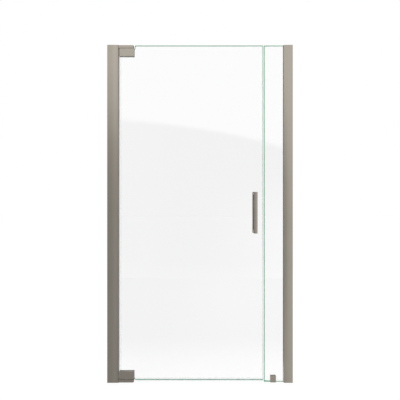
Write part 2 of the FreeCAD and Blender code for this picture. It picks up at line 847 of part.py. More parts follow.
def foot_set_screws():
    """Set screws in the rear cheek, which press the gasket on the glass."""
    length = foot_cheek - part_clearance
    screw = grub_screw(foot_screw_radius, length)
    rear = half_glass + gasket_thickness + length
    return group([placed(screw, point(x, rear, foot_screw_height), INWARD) for x in foot_screw_xs])


# ---- Every piece by name -------------------------------------------------------------------------
pieces = {
    "wall_channel_left": wall_channel(-1),
    "wall_channel_right": wall_channel(1),
    "left_lock_screws": lock_screws(-1),
    "right_lock_screws": lock_screws(1),
    "left_lock_nuts": lock_nuts(-1),
    "right_lock_nuts": lock_nuts(1),
    "pivot_jamb": pivot_jamb(),
    "pivot_jamb_cap": pivot_jamb_cap(),
    "panel_jamb": panel_jamb(),
    "panel_jamb_cap": panel_jamb_cap(),
    "door_glass": door_glass(),
    "door_hinge_seal": door_hinge_seal(),
    "door_strike_seal": door_strike_seal(),
    "door_sweep": door_sweep(),
    "outer_pull": outer_pull(),
    "inner_pull": inner_pull(),
    "pull_studs": pull_studs(),
    "pull_sleeves": pull_sleeves(),
    "outer_pull_washers": outside(pull_washers()),
    "inner_pull_washers": pull_washers(),
    "pull_set_screws": pull_set_screws(),
    "panel_glass": panel_glass(),
    "panel_front_gasket": outside(panel_gasket()),
    "panel_rear_gasket": panel_gasket(),
    "panel_edge_blocks": panel_edge_blocks(),
    "panel_stop_seal": panel_stop_seal(),
    "panel_base_seals": panel_base_seals(),
    "foot_bracket": foot_bracket(),
    "foot_gasket": foot_gasket(),
    "foot_set_screws": foot_set_screws(),
}

pivot_pieces = {
    "pivot_arm": pivot_arm(),
    "arm_screws": arm_screws(),
    "pivot_pin": pivot_pin(),
    "thrust_washer": thrust_washer(),
    "pivot_bush": pivot_bush(),
    "clamp_core": clamp_core(),
    "front_clamp_plate": front_clamp_plate(),
    "rear_clamp_plate": rear_clamp_plate(),
    "clamp_gaskets": clamp_gaskets(),
    "clamp_screws": clamp_screws(),
}

for name, shape in pivot_pieces.items():
    pieces["bottom_" + name] = shape
    pieces["top_" + name] = at_top(shape)

for name, shape in pieces.items():
    shape.exportStep(f"parts/{name}.step")
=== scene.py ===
import functools
import math

import bmesh
import bpy
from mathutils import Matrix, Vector


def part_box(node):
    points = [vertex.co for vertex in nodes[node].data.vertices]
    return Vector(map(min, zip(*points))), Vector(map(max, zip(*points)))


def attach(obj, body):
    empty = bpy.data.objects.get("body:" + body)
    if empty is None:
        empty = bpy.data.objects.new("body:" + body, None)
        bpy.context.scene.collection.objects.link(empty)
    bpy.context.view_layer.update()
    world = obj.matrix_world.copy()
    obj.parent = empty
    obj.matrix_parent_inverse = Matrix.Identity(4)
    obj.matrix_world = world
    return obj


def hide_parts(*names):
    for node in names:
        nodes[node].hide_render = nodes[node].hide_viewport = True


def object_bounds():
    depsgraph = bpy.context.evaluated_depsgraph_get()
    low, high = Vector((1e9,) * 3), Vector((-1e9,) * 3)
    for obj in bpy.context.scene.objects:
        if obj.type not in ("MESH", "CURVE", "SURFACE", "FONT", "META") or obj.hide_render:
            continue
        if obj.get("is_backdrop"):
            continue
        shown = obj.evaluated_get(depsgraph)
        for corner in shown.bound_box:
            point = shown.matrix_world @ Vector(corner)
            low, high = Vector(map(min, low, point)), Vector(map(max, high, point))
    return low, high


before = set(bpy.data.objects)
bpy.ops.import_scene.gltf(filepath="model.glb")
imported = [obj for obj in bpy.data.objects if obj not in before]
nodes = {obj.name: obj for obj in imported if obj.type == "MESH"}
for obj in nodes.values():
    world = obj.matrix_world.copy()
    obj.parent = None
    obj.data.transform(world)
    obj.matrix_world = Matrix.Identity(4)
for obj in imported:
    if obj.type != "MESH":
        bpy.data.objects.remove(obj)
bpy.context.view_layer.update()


# ---- The camera -----------------------------------------------------------------------------------
# A level camera with a 50 mm lens stands straight in front of the door, a little above half its height.
# Its height and distance come from the widths of the strips that the side faces of the jambs show.
camera_distance = 3.0246
camera_height = 0.9893
camera_data = bpy.data.cameras.new("camera")
camera_data.lens = 50.0
camera_data.sensor_width = 36.0
camera = bpy.data.objects.new("camera", camera_data)
bpy.context.scene.collection.objects.link(camera)
camera.location = (0.0, -camera_distance, camera_height)
camera.rotation_euler = (math.radians(90), 0.0, 0.0)
bpy.context.scene.camera = camera
bpy.context.scene.view_settings.view_transform = "Standard"


# ---- The studio -----------------------------------------------------------------------------------
# A white room with a white floor, lit evenly from all sides. What gloss reflects is set apart from what
# lights the door: a card behind the camera, grey below and bright above, a grey card behind the door, and
# darker sides.
mm = 0.001
white = (1.0, 1.0, 1.0, 1.0)


class Wire:
    """A socket of a node tree. Arithmetic on it adds Math nodes, and add() puts in any other node."""

    def __init__(self, tree, socket=None):
        self.tree = tree
        self.socket = socket

    def add(self, kind, settings=None, inputs=None, output=0):
        """A new node: first its settings, then the values or links of its sockets."""
        node = self.tree.nodes.new(kind)
        for name, value in (settings or {}).items():
            setattr(node, name, value)
        for name, value in (inputs or {}).items():
            if isinstance(value, Wire):
                self.tree.links.new(value.socket, node.inputs[name])
            else:
                node.inputs[name].default_value = value
        return Wire(self.tree, node.outputs[output])

    def end(self, kind, socket):
        """The last node of the tree, which takes this wire."""
        self.tree.links.new(self.socket, self.tree.nodes.new(kind).inputs[socket])

    def math(self, operation, *others):
        values = dict(enumerate((self, *others)))
        return self.add("ShaderNodeMath", {"operation": operation}, values)

    def __add__(self, other):
        return self.math("ADD", other)

    def __sub__(self, other):
        return self.math("SUBTRACT", other)

    def __mul__(self, other):
        return self.math("MULTIPLY", other)

    def __neg__(self):
        return self * -1.0

    def __rsub__(self, other):
        return -self + other

    def smooth(self, low, high):
        """0 below low, 1 above high, and a soft step between them."""
        limits = {"Value": self, "From Min": low, "From Max": high}
        return self.add("ShaderNodeMapRange", {"interpolation_type": "SMOOTHSTEP"}, limits)

    __radd__ = __add__


def light_path(wire, name):
    return wire.add("ShaderNodeLightPath", output=name)


def mirrored(wire):
    """1 where a ray has met a gloss, and 0 for rays that only light something."""
    after_gloss = light_path(wire, "Glossy Depth").math("GREATER_THAN", 0.5)
    return after_gloss * (1 - light_path(wire, "Is Diffuse Ray"))


def seen(wire):
    """1 for rays from the camera, from a gloss and through glass, and 0 for rays that only light."""
    straight = light_path(wire, "Is Camera Ray").math("MAXIMUM", light_path(wire, "Is Transmission Ray"))
    return straight.math("MAXIMUM", mirrored(wire))


def in_glass(wire):
    """1 for what clear glass mirrors, and 0 for what brushed metal does."""
    return light_path(wire, "Is Singular Ray")


# The world lights the door evenly. Gloss sees it darker at the sides, and darkest behind the door and low.
ambient_light = 0.80
side_darkness = 0.55
side_band = (0.45, 0.95)
rear_low = 0.42
rear_rise = 0.32
rise_band = (-0.15, 0.30)
rear_band = (0.1, 0.5)
world = bpy.data.worlds.new("white_room")
bpy.context.scene.world = world
world.use_nodes = True
world.node_tree.nodes.clear()
wire = Wire(world.node_tree)
way = wire.add("ShaderNodeTexCoord", output="Generated")
sideways, backwards, upwards = (
    wire.add("ShaderNodeSeparateXYZ", inputs={0: way}, output=axis) for axis in ("X", "Y", "Z")
)
behind = upwards.smooth(*rise_band) * rear_rise + rear_low
before = 1 - sideways.math("ABSOLUTE").smooth(*side_band) * side_darkness
gloss_level = backwards.smooth(*rear_band) * (behind - before) + before
strength = seen(wire) * (mirrored(wire) * (gloss_level - 1) + (1 - ambient_light)) + ambient_light
room_light = wire.add("ShaderNodeBackground", inputs={"Color": white, "Strength": strength})
room_light.end("ShaderNodeOutputWorld", "Surface")


def blank_finish(name):
    """An empty material, with a wire to build its nodes from."""
    finish = bpy.data.materials.new(name)
    finish.use_nodes = True
    finish.node_tree.nodes.clear()
    return finish, Wire(finish.node_tree)


def stage_piece(name, corners, finish):
    """A flat face that isn't part of the door."""
    mesh = bpy.data.meshes.new(name)
    mesh.from_pydata(corners, [], [tuple(range(len(corners)))])
    mesh.materials.append(finish)
    piece = bpy.data.objects.new(name, mesh)
    bpy.context.scene.collection.objects.link(piece)
    piece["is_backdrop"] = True
    return piece


def object_place(wire):
    return wire.add("ShaderNodeTexCoord", output="Object")


def across(wire, axis="X"):
    """The place along an axis of the object, in metres."""
    return wire.add("ShaderNodeSeparateXYZ", inputs={0: object_place(wire)}, output=axis)


def stepped(value, level, steps):
    """A level with soft steps, each from one place to another."""
    return sum((value.smooth(low, high) * rise for low, high, rise in steps), level)


# The floor is white to the eye. Gloss sees it grey and lighter to the right, and glass sees it darker far
# ahead of the door and bright close to it.
floor_half = 30.0
floor_drop = 0.5 * mm
floor_paint = (0.92, 0.92, 0.92, 1.0)
floor_glow = 1.048
floor_glow_share = 0.85
floor_level = 0.64
floor_steps = [(-0.45, 0.45, 0.36)]
floor_front = (-0.5, -0.1)
near_depth = 1.1
near_glow = 1.25
far_shade = 0.28
finish, wire = blank_finish("pale_floor")
ahead = -across(wire, "Y")
glass_glow = ((1 - ahead.smooth(0.0, near_depth)) * near_glow - far_shade) * in_glass(wire)
front_glow = stepped(across(wire), floor_level, floor_steps) + glass_glow
gloss_glow = ahead.smooth(*floor_front) * (front_glow - rear_low) + rear_low
strength = mirrored(wire) * (gloss_glow - floor_glow) + floor_glow
glow = wire.add("ShaderNodeEmission", inputs={"Color": white, "Strength": strength})
paint = wire.add("ShaderNodeBsdfDiffuse", inputs={"Color": floor_paint})
floor_mix = {0: seen(wire) * floor_glow_share, 1: paint, 2: glow}
wire.add("ShaderNodeMixShader", inputs=floor_mix).end("ShaderNodeOutputMaterial", "Surface")
corner_signs = ((-1, -1), (1, -1), (1, 1), (-1, 1))
floor_corners = [(x * floor_half, y * floor_half, -floor_drop) for x, y in corner_signs]
stage_piece("floor", floor_corners, finish)


def reflected_only(name, corners, distance, shade):
    """An upright sheet that only reflections show, lit by itself. The distance is ahead of the door."""
    finish, wire = blank_finish(name)
    glow = wire.add("ShaderNodeEmission", inputs={"Color": white, "Strength": shade(wire)})
    clear = wire.add("ShaderNodeBsdfTransparent")
    both = wire.add("ShaderNodeMixShader", inputs={0: mirrored(wire), 1: clear, 2: glow})
    both.end("ShaderNodeOutputMaterial", "Surface")
    sheet = stage_piece(name, [(x, -distance, z) for x, z in corners], finish)
    sheet.visible_camera = False
    sheet.visible_diffuse = False
    sheet.visible_shadow = False


# The front card's grey is lighter at the right, in glass only low down. Its upper part is a bright screen,
# whose soft edge drops faster and faster to the right: it is the soft line across the upper glass.
card_distance = 4.0
card_half = 3.4
card_top = 5.5
card_corners = [(-card_half, 0.0), (card_half, 0.0), (card_half, card_top), (-card_half, card_top)]
card_level = 0.50
card_steps = [(-2.2, -0.9, 0.26), (-0.8, -0.3, -0.09)]
right_steps = [(-0.2, 1.7, 0.58)]
right_in_glass = 1.4
right_heights = (0.5, 1.5)
screen_level = 1.55
screen_extra = 0.22
screen_rim = 2.124
screen_drop = 0.235
drop_rate = 0.66
soft_edge = 0.046


def front_shade(wire):
    """The grey of the card, and the white of the screen above its soft edge."""
    glass = in_glass(wire)
    low_part = 1 - across(wire, "Z").smooth(*right_heights)
    share = glass * (low_part * right_in_glass - 1) + 1
    card = stepped(across(wire), card_level, card_steps) + stepped(across(wire), 0.0, right_steps) * share
    screen = glass * screen_extra + screen_level
    edge = screen_rim - (across(wire) * drop_rate).math("EXPONENT") * screen_drop
    above = (across(wire, "Z") - edge).smooth(-soft_edge, soft_edge)
    return above * (screen - card) + card


# Behind the door, the middle stays dark for the side faces of the jambs, which the camera sees.
rear_level = 0.44
rear_sides = (0.45, 1.1)
rear_sides_rise = 0.50


def rear_shade(wire):
    return across(wire).math("ABSOLUTE").smooth(*rear_sides) * rear_sides_rise + rear_level


reflected_only("front_card", card_corners, card_distance, front_shade)
reflected_only("rear_card", card_corners, -card_distance, rear_shade)

# Each lamp's place, the side of its square in metres, and its power in watts.
lamps = {
    "key_lamp": ((-2.2, -3.4, 3.4), 2.4, 34.0),
    "fill_lamp": ((2.6, -2.6, 2.2), 2.4, 20.0),
    "back_lamp": ((0.8, 3.6, 3.2), 2.4, 30.0),
}
lamp_target = Vector((0.0, 0.0, 0.9))
for name, (place, size, power) in lamps.items():
    lamp_data = bpy.data.lights.new(name, "AREA")
    lamp_data.size = size
    lamp_data.energy = power
    lamp = bpy.data.objects.new(name, lamp_data)
    bpy.context.scene.collection.objects.link(lamp)
    lamp.location = place
    lamp.rotation_euler = (lamp_target - lamp.location).to_track_quat("-Z", "Y").to_euler()
    lamp.visible_camera = False
    lamp.visible_glossy = False
    lamp.visible_transmission = False


# ---- Wall channels, jambs and caps ----------------------------------------------------------------
# Extruded aluminium, brushed along its length and anodised to look like satin nickel. The channels are
# screwed to the walls and the jambs slide over them. The faces of the jambs have a slight crown, and
# light and shade painted into their colour.
satin_nickel = (0.305, 0.277, 0.237)
metal_spread = 0.17
band_rates = (0.2, 0.2, 0.2)
cloud_scale = 7.0
line_share = 0.45
band_share = 0.30
cloud_share = 0.25
brush_depth = 0.006 * mm
roughness_spread = 0.12
drawn_roughness = 0.30
drawn_along = (1300.0, 1300.0, 8.0)
crown_slope = {"pivot_jamb": 0.055, "panel_jamb": 0.075}
jamb_ease = 18.0 * mm


def noise(wire, place, scale, detail):
    return wire.add("ShaderNodeTexNoise", inputs={"Vector": place, "Scale": scale, "Detail": detail})


def stretched(wire, place, rates):
    """A place with each axis multiplied by its rate."""
    return wire.add("ShaderNodeVectorMath", {"operation": "MULTIPLY"}, {0: place, 1: rates})


def tinted(wire, share, colour, spread):
    """A colour that goes from a darker shade to a lighter one while the share goes from 0 to 1."""
    dark = tuple(c * (1 - spread) for c in colour) + (1.0,)
    light = tuple(c * (1 + spread) for c in colour) + (1.0,)
    settings = {"data_type": "RGBA", "clamp_factor": False}
    return wire.add("ShaderNodeMix", settings, {0: share, 6: dark, 7: light}, 2)


def bumped(wire, height, strength=1.0, depth=1.0):
    """The normal of a surface with that height, which is multiplied by the depth."""
    values = {"Strength": strength, "Distance": depth, "Height": height}
    return wire.add("ShaderNodeBump", inputs=values, output="Normal")


def solid_surface(wire, sockets):
    """The end of a tree whose surface is one Principled shader."""
    wire.add("ShaderNodeBsdfPrincipled", inputs=sockets).end("ShaderNodeOutputMaterial", "Surface")


def brushed_metal(name, colour, grain, roughness, crown=None, painted_shade=None):
    """Metal with fine brush lines in broader bands. grain is how often they vary in a metre of each axis.

    crown is the middle of a face and how fast its slope grows from there. The last argument is painted light
    and shade: it makes the metal's colour lighter or darker from place to place.
    """
    finish, wire = blank_finish(name)
    place = object_place(wire)
    along = stretched(wire, place, grain)
    lines = noise(wire, along, 1.0, 3.0)
    bands = noise(wire, stretched(wire, along, band_rates), 1.0, 2.0)
    cloud = noise(wire, place, cloud_scale, 2.0)
    share = lines * line_share + bands * band_share + cloud * cloud_share
    # Painted light and shade, added to the colour where a finish has them.
    if painted_shade:
        share = share + painted_shade(wire)
    height = lines * brush_depth + bands * brush_depth
    if crown:
        middle, slope_rate = crown
        off = across(wire) - middle
        height = height - off * off * (slope_rate / 2)
    solid_surface(wire, {
        "Base Color": tinted(wire, share, colour, metal_spread),
        "Metallic": 1.0,
        "Roughness": lines * roughness_spread + (roughness - roughness_spread / 2),
        "Normal": bumped(wire, height),
    })
    return finish


def dress(finish, *names):
    """Gives CAD nodes their finish."""
    for name in names:
        mesh = nodes[name].data
        mesh.materials.clear()
        mesh.materials.append(finish)


# Painted light and shade on the jambs' faces. On the pivot jamb, a painted highlight along its ridge and
# painted shade on its slope to the glass.
ridge_width = 25.0 * mm
painted_ridge_highlight = 0.30
painted_shade_offset = -0.10
painted_ease_shade = 0.45


def painted_shade_towards_glass(wire, low, high):
    """The pivot jamb's face, with painted light and shade: a painted highlight up to where it slopes back to
    the glass, and painted shade on that slope.
    """
    ridge = high - jamb_ease
    rise = across(wire).smooth(ridge - ridge_width, ridge) * painted_ridge_highlight
    return rise - across(wire).smooth(ridge, high) * painted_ease_shade + painted_shade_offset


# On the panel jamb, low down, a painted reflection: painted shade by the glass and painted sheen towards the
# wall.
painted_low_shade = -0.58
painted_low_sheen = 1.05
painted_low_band = (0.3, 1.0)


def painted_sheen_towards_wall(wire, low, high):
    """The panel jamb's face, with a painted reflection: low down, painted shade beside the glass and a
    painted sheen towards the wall.
    """
    below = 1 - across(wire, "Z").smooth(*painted_low_band)
    start = low - (high - low) / 2
    return (across(wire).smooth(start, high) * painted_low_sheen + painted_low_shade) * below


for jamb, painted_shade in {"pivot_jamb": painted_shade_towards_glass, "panel_jamb": painted_sheen_towards_wall}.items():
    low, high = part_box(jamb)
    middle = (low[0] + high[0]) / 2
    half = (high[0] - low[0]) / 2
    crown = (middle, crown_slope[jamb] / half)
    # Each jamb's face gets its own painted light and shade.
    painted_face_shade = functools.partial(painted_shade, low=low[0], high=high[0])
    finish = brushed_metal(
        f"satin_nickel_{jamb}", satin_nickel, drawn_along, drawn_roughness, crown, painted_face_shade
    )
    dress(finish, jamb, f"{jamb}_cap")
plain_nickel = brushed_metal("satin_nickel", satin_nickel, drawn_along, drawn_roughness)
dress(plain_nickel, "wall_channel_left", "wall_channel_right")


# ---- Pivot arms and clamps ------------------------------------------------------------------------
# Machined from solid brass and nickel plated, brushed across. An arm is screwed into the jamb's box, and
# a clamp's two plates are drawn together on the glass by two screws from the rear.
plated_nickel = (0.300, 0.272, 0.235)
brushed_across = brushed_metal("nickel_brushed_across", plated_nickel, (10.0, 1400.0, 1400.0), 0.29)
ends = ("bottom", "top")
for end in ends:
    plates = (f"{end}_clamp_core", f"{end}_front_clamp_plate", f"{end}_rear_clamp_plate")
    dress(brushed_across, f"{end}_pivot_arm", *plates)


# ---- Pulls ----------------------------------------------------------------------------------------
# Two solid bars on round posts, nickel plated and brushed along. Studs join them through the glass: the
# outer pull is screwed on blind, and set screws under the posts hold the inner one.
brushed_along = brushed_metal("nickel_brushed_along", plated_nickel, (1400.0, 1400.0, 10.0), 0.27)
dress(brushed_along, "outer_pull", "inner_pull")


# ---- Foot bracket ---------------------------------------------------------------------------------
# A small U of the same plated metal, screwed to the curb. It holds the foot of the fixed panel.
dress(brushed_across, "foot_bracket")


# ---- Screws, nuts, studs and pins -----------------------------------------------------------------
# Stainless socket screws, turned and rolled: pan heads in the rear of the jambs, countersunk heads in the
# rear clamp plates, and set screws under the inner pull and in the rear of the foot.
stainless = (0.56, 0.55, 0.53)
turned_steel = brushed_metal("turned_stainless", stainless, (900.0, 900.0, 900.0), 0.24)
dress(turned_steel, "left_lock_nuts", "right_lock_nuts", "pull_studs", "pull_set_screws")
for end in ends:
    dress(turned_steel, f"{end}_pivot_pin")

screw_sides = 24
thread_pitch = 0.8 * mm
thread_depth = 0.35 * mm
thread_steps = 4
tip_flat = 0.3
socket_draft = 0.97
socket_cone = 1.15
socket_point = 0.2


def turned(name, profile, socket_radius, socket_depth):
    """A screw along Z, in rings from its tip up to its rim and down into its hexagon socket.

    profile holds the radius and the height of each step. Its second and third steps are the ends of the
    rolled thread.
    """
    angles = [2 * math.pi * k / screw_sides for k in range(screw_sides)]
    thread_radius, thread_low = profile[1]
    thread_length = profile[2][1] - thread_low
    thread_rings = int(thread_steps * thread_length / thread_pitch)

    def ring(radius_at, z):
        return [(radius_at(a) * math.cos(a), radius_at(a) * math.sin(a), z) for a in angles]

    def round_ring(radius, z):
        return ring(lambda a: radius, z)

    def thread_ring(k):
        height = thread_low + thread_length * k / thread_rings
        ease = min(k, thread_rings - k, thread_steps) / thread_steps

        def crest(a):
            phase = (height / thread_pitch - a / (2 * math.pi)) % 1
            return thread_radius - thread_depth * ease * abs(2 * phase - 1)

        return ring(crest, height)

    def socket_ring(size, z):
        def hexagon(a):
            turn = (a + math.pi / 6) % (math.pi / 3) - math.pi / 6
            return socket_radius * math.cos(math.pi / 6) / math.cos(turn) * size

        return ring(hexagon, z)

    tip_radius, tip = profile[0]
    top = profile[-1][1]
    rings = [round_ring(tip_radius * tip_flat, tip)]
    rings += [round_ring(radius, z) for radius, z in profile[:2]]
    rings += [thread_ring(k) for k in range(1, thread_rings)]
    rings += [round_ring(radius, z) for radius, z in profile[2:]]
    rings += [socket_ring(1.0, top), socket_ring(socket_draft, top - socket_depth)]
    rings += [socket_ring(socket_point, top - socket_depth * socket_cone)]

    faces = []
    for level in range(len(rings) - 1):
        low, high = level * screw_sides, (level + 1) * screw_sides
        for k in range(screw_sides):
            after = (k + 1) % screw_sides
            faces.append((low + k, low + after, high + after, high + k))
    faces.append(tuple(reversed(range(screw_sides))))
    last = (len(rings) - 1) * screw_sides
    faces.append(tuple(last + k for k in range(screw_sides)))
    mesh = bpy.data.meshes.new(name)
    mesh.from_pydata([point for one in rings for point in one], [], faces)
    screw = bpy.data.objects.new(name, mesh)
    bpy.context.scene.collection.objects.link(screw)
    return screw


# A socket's radius is a share of the shank's, and its depth a share of the head's or the grub screw's.
pan_socket = (0.7, 0.6)
flat_socket = (0.75, 0.8)
grub_socket = (0.6, 0.35)
tip_share = 0.8
tip_length = 0.6 * mm
point_share = 0.6
point_length = 0.5 * mm
bare_neck = 0.4 * mm
pan_rim = 0.45
rim_turns = (0.0, 0.4, 0.8, 1.2, math.pi / 2)
flat_rim = 0.15 * mm
grub_rim = 0.85


def shank(length, radius, head_height):
    """The steps of a threaded shank, up to its bare neck under the head."""
    return [(radius * tip_share, -length), (radius, -length + tip_length), (radius, -head_height - bare_neck)]


def pan_screw(name, length, radius, head_radius, head_height):
    """A screw with a pan head, whose upper rim is soft. Its rim is at Z = 0."""
    rim = pan_rim * head_height
    profile = shank(length, radius, head_height) + [(radius, -head_height), (head_radius, -head_height)]
    profile += [(head_radius - rim * (1 - math.cos(t)), -rim * (1 - math.sin(t))) for t in rim_turns]
    return turned(name, profile, radius * pan_socket[0], head_height * pan_socket[1])


def flat_screw(name, length, radius, head_radius):
    """A screw with a countersunk head at 90 degrees, flush with its plate."""
    sink = head_radius - radius
    profile = shank(length, radius, sink)
    profile += [(radius, -sink), (head_radius, -flat_rim), (head_radius - flat_rim, 0.0)]
    return turned(name, profile, radius * flat_socket[0], sink * flat_socket[1])


def grub_screw(name, length, radius):
    """A headless screw, threaded all along, with a narrow point."""
    profile = [(radius * point_share, -length), (radius, -length + point_length)]
    profile += [(radius, -bare_neck), (radius * grub_rim, 0.0)]
    return turned(name, profile, radius * grub_socket[0], length * grub_socket[1])


def new_tree(name, sockets):
    """An empty Geometry Nodes tree with named inputs."""
    tree = bpy.data.node_groups.new(name, "GeometryNodeTree")
    tree.interface.new_socket("Geometry", in_out="OUTPUT", socket_type="NodeSocketGeometry")
    for label, kind in {"Shape": "Geometry", **sockets, "Finish": "Material"}.items():
        tree.interface.new_socket(label, in_out="INPUT", socket_type=f"NodeSocket{kind}")
    return tree


def given(wire, label):
    return wire.add("NodeGroupInput", output=label)


def close_tree(geometry):
    """Makes instances real, gives them their finish and ends the tree."""
    whole = geometry.add("GeometryNodeRealizeInstances", inputs={"Geometry": geometry})
    dressed = {"Geometry": whole, "Material": given(geometry, "Finish")}
    geometry.add("GeometryNodeSetMaterial", inputs=dressed).end("NodeGroupOutput", 0)


# A row of one screw, each turned about its own axis by a random angle.
row_inputs = {"Count": "Int", "First": "Vector", "Step": "Vector", "Turn": "Vector", "Seed": "Int"}
screw_row = new_tree("screw_row", row_inputs)
wire = Wire(screw_row)
line = {"Count": given(wire, "Count"), "Start Location": given(wire, "First"), "Offset": given(wire, "Step")}
spots = wire.add("GeometryNodeMeshLine", {"mode": "OFFSET"}, line)
copies = {"Points": spots, "Instance": given(wire, "Shape"), "Rotation": given(wire, "Turn")}
screws = wire.add("GeometryNodeInstanceOnPoints", inputs=copies)
limits = {"Max": math.pi, "Seed": given(wire, "Seed")}
any_angle = wire.add("FunctionNodeRandomValue", {"data_type": "FLOAT"}, limits, 1)
spin = wire.add("ShaderNodeCombineXYZ", inputs={"Z": any_angle})
close_tree(wire.add("GeometryNodeRotateInstances", inputs={"Instances": screws, "Rotation": spin}))

merge_distance = 0.005 * mm


def turn_outwards(mesh):
    """Merges points that lie on each other, and turns every face to the outside."""
    whole = bmesh.new()
    whole.from_mesh(mesh)
    bmesh.ops.remove_doubles(whole, verts=whole.verts, dist=merge_distance)
    bmesh.ops.recalc_face_normals(whole, faces=whole.faces)
    whole.to_mesh(mesh)
    whole.free()


def grown(name, shape, tree, values, body, node):
    """Runs a tree on a shape and keeps the result as a plain mesh that stands for a CAD node."""
    modifier = shape.modifiers.new(name, "NODES")
    modifier.node_group = tree
    for item in tree.interface.items_tree:
        if item.in_out == "INPUT" and item.name in values:
            modifier[item.identifier] = values[item.name]
    bpy.context.view_layer.update()
    evaluated = shape.evaluated_get(bpy.context.evaluated_depsgraph_get())
    mesh = bpy.data.meshes.new_from_object(evaluated)
    mesh.name = name
    bpy.data.objects.remove(shape)
    turn_outwards(mesh)
    piece = bpy.data.objects.new(name, mesh)
    bpy.context.scene.collection.objects.link(piece)
    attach(piece, body)
    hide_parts(node)


def box_of(node):
    low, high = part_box(node)
    return Vector(low), Vector(high)


rearward = (-math.pi / 2, 0.0, 0.0)


def screw_set(node, body, count, axis, widest, make, seed):
    """The screws of a CAD node, in a row along an axis with their heads to the rear."""
    low, high = box_of(node)
    reach = Vector()
    reach[axis] = (high[axis] - low[axis]) / 2 - widest
    first = (low + high) / 2 - reach
    first.y = high.y
    step = reach * (2 / (count - 1))
    values = {"Count": count, "First": tuple(first), "Step": tuple(step), "Turn": rearward, "Seed": seed}
    values["Finish"] = turned_steel
    screw = make(f"{node}_one", high.y - low.y)
    grown(f"{node}_set", screw, screw_row, values, body, node)


x_axis = 0
z_axis = 2
lock_head = 4.0 * mm
arm_head = 5.0 * mm
clamp_head = 5.6 * mm
foot_screw = 2.5 * mm
lock_screw = functools.partial(pan_screw, radius=2.0 * mm, head_radius=lock_head, head_height=2.6 * mm)
arm_screw = functools.partial(pan_screw, radius=2.5 * mm, head_radius=arm_head, head_height=2.5 * mm)
clamp_screw = functools.partial(flat_screw, radius=3.0 * mm, head_radius=clamp_head)
for seed, side in enumerate(("left", "right")):
    screw_set(f"{side}_lock_screws", "frame", 3, z_axis, lock_head, lock_screw, seed + 1)
for seed, end in enumerate(ends):
    screw_set(f"{end}_arm_screws", "frame", 2, z_axis, arm_head, arm_screw, seed + 3)
    screw_set(f"{end}_clamp_screws", "door", 2, x_axis, clamp_head, clamp_screw, seed + 5)
foot_screws = functools.partial(grub_screw, radius=foot_screw)
screw_set("foot_set_screws", "frame", 2, x_axis, foot_screw, foot_screws, 7)


# ---- Bushes, washers and sleeves ------------------------------------------------------------------
# White acetal bushes turn on the pivot pins, on thrust washers. Milky nylon sleeves and washers keep the
# pulls' studs and posts off the glass.
moulded_spread = 0.08
moulded_cloud = 30.0
moulded_roughness = 0.2
moulded_bump = 0.4


def moulded(name, colour, grain, roughness, depth, alpha=1.0):
    """Plastic or rubber with a fine moulded grain."""
    finish, wire = blank_finish(name)
    place = object_place(wire)
    fine = noise(wire, place, grain, 4.0)
    cloud = noise(wire, place, moulded_cloud, 2.0)
    solid_surface(wire, {
        "Base Color": tinted(wire, cloud, colour, moulded_spread),
        "Roughness": fine * moulded_roughness + (roughness - moulded_roughness / 2),
        "Normal": bumped(wire, fine, moulded_bump, depth),
        "Alpha": alpha,
    })
    return finish


acetal = moulded("pivot_acetal", (0.80, 0.80, 0.76), 1200.0, 0.42, 0.03 * mm)
milky_nylon = moulded("milky_nylon", (0.86, 0.88, 0.87), 900.0, 0.35, 0.02 * mm, 0.55)
for end in ends:
    dress(acetal, f"{end}_pivot_bush", f"{end}_thrust_washer")
dress(milky_nylon, "pull_sleeves", "outer_pull_washers", "inner_pull_washers")


# ---- Gaskets and packers --------------------------------------------------------------------------
# Grey rubber between metal and glass: under the clamp plates, in the pocket of the panel jamb and in the
# foot.
grey_rubber = moulded("grey_rubber", (0.20, 0.20, 0.195), 2500.0, 0.62, 0.06 * mm)
for end in ends:
    dress(grey_rubber, f"{end}_clamp_gaskets")
dress(grey_rubber, "panel_front_gasket", "panel_rear_gasket", "panel_edge_blocks", "foot_gasket")


# ---- Glass ----------------------------------------------------------------------------------------
# Two panes of clear toughened float glass, 10 mm thick, cut, notched and drilled before toughening. Their
# edges are ground with a bevel on both sides, and show the green of the glass. The upright edges of the
# door, which the seals cover, and the panel's foot and hidden edge are polished clear.
clear_tint = (0.911, 0.9125, 0.912, 1.0)
passing_tint = (0.94, 0.95, 0.945, 1.0)
glass_index = 1.5
edge_green = (0.006, 0.350, 0.150)
edge_spread = 0.30


def lets_light_by(wire, shader):
    """The shader, clear to lamps and to light that comes from dull surfaces."""
    clear = wire.add("ShaderNodeBsdfTransparent", inputs={"Color": passing_tint})
    for ray in ("Is Diffuse Ray", "Is Shadow Ray"):
        shader = wire.add("ShaderNodeMixShader", inputs={0: light_path(wire, ray), 1: shader, 2: clear})
    return shader


float_glass, wire = blank_finish("float_glass")
sockets = {"Base Color": clear_tint, "Roughness": 0.0, "IOR": glass_index, "Transmission Weight": 1.0}
clear_body = wire.add("ShaderNodeBsdfPrincipled", inputs=sockets)
lets_light_by(wire, clear_body).end("ShaderNodeOutputMaterial", "Surface")

ground_scale = 500.0
drift_scale = 9.0
ground_depth = 0.04 * mm
ground_edge, wire = blank_finish("ground_glass_edge")
place = object_place(wire)
ground = noise(wire, place, ground_scale, 3.0)
drift = noise(wire, place, drift_scale, 1.0)
solid_surface(wire, {
    "Base Color": tinted(wire, ground * 0.5 + drift * 0.5, edge_green, edge_spread),
    "Roughness": ground * 0.15 + 0.25,
    "Normal": bumped(wire, ground, 0.3, ground_depth),
    "Specular IOR Level": 0.3,
    "Coat Weight": 0.5,
    "Coat Roughness": 0.06,
})

touch = 0.01 * mm
bevel_lean = (0.3, 0.95)
least_corner = 0.3


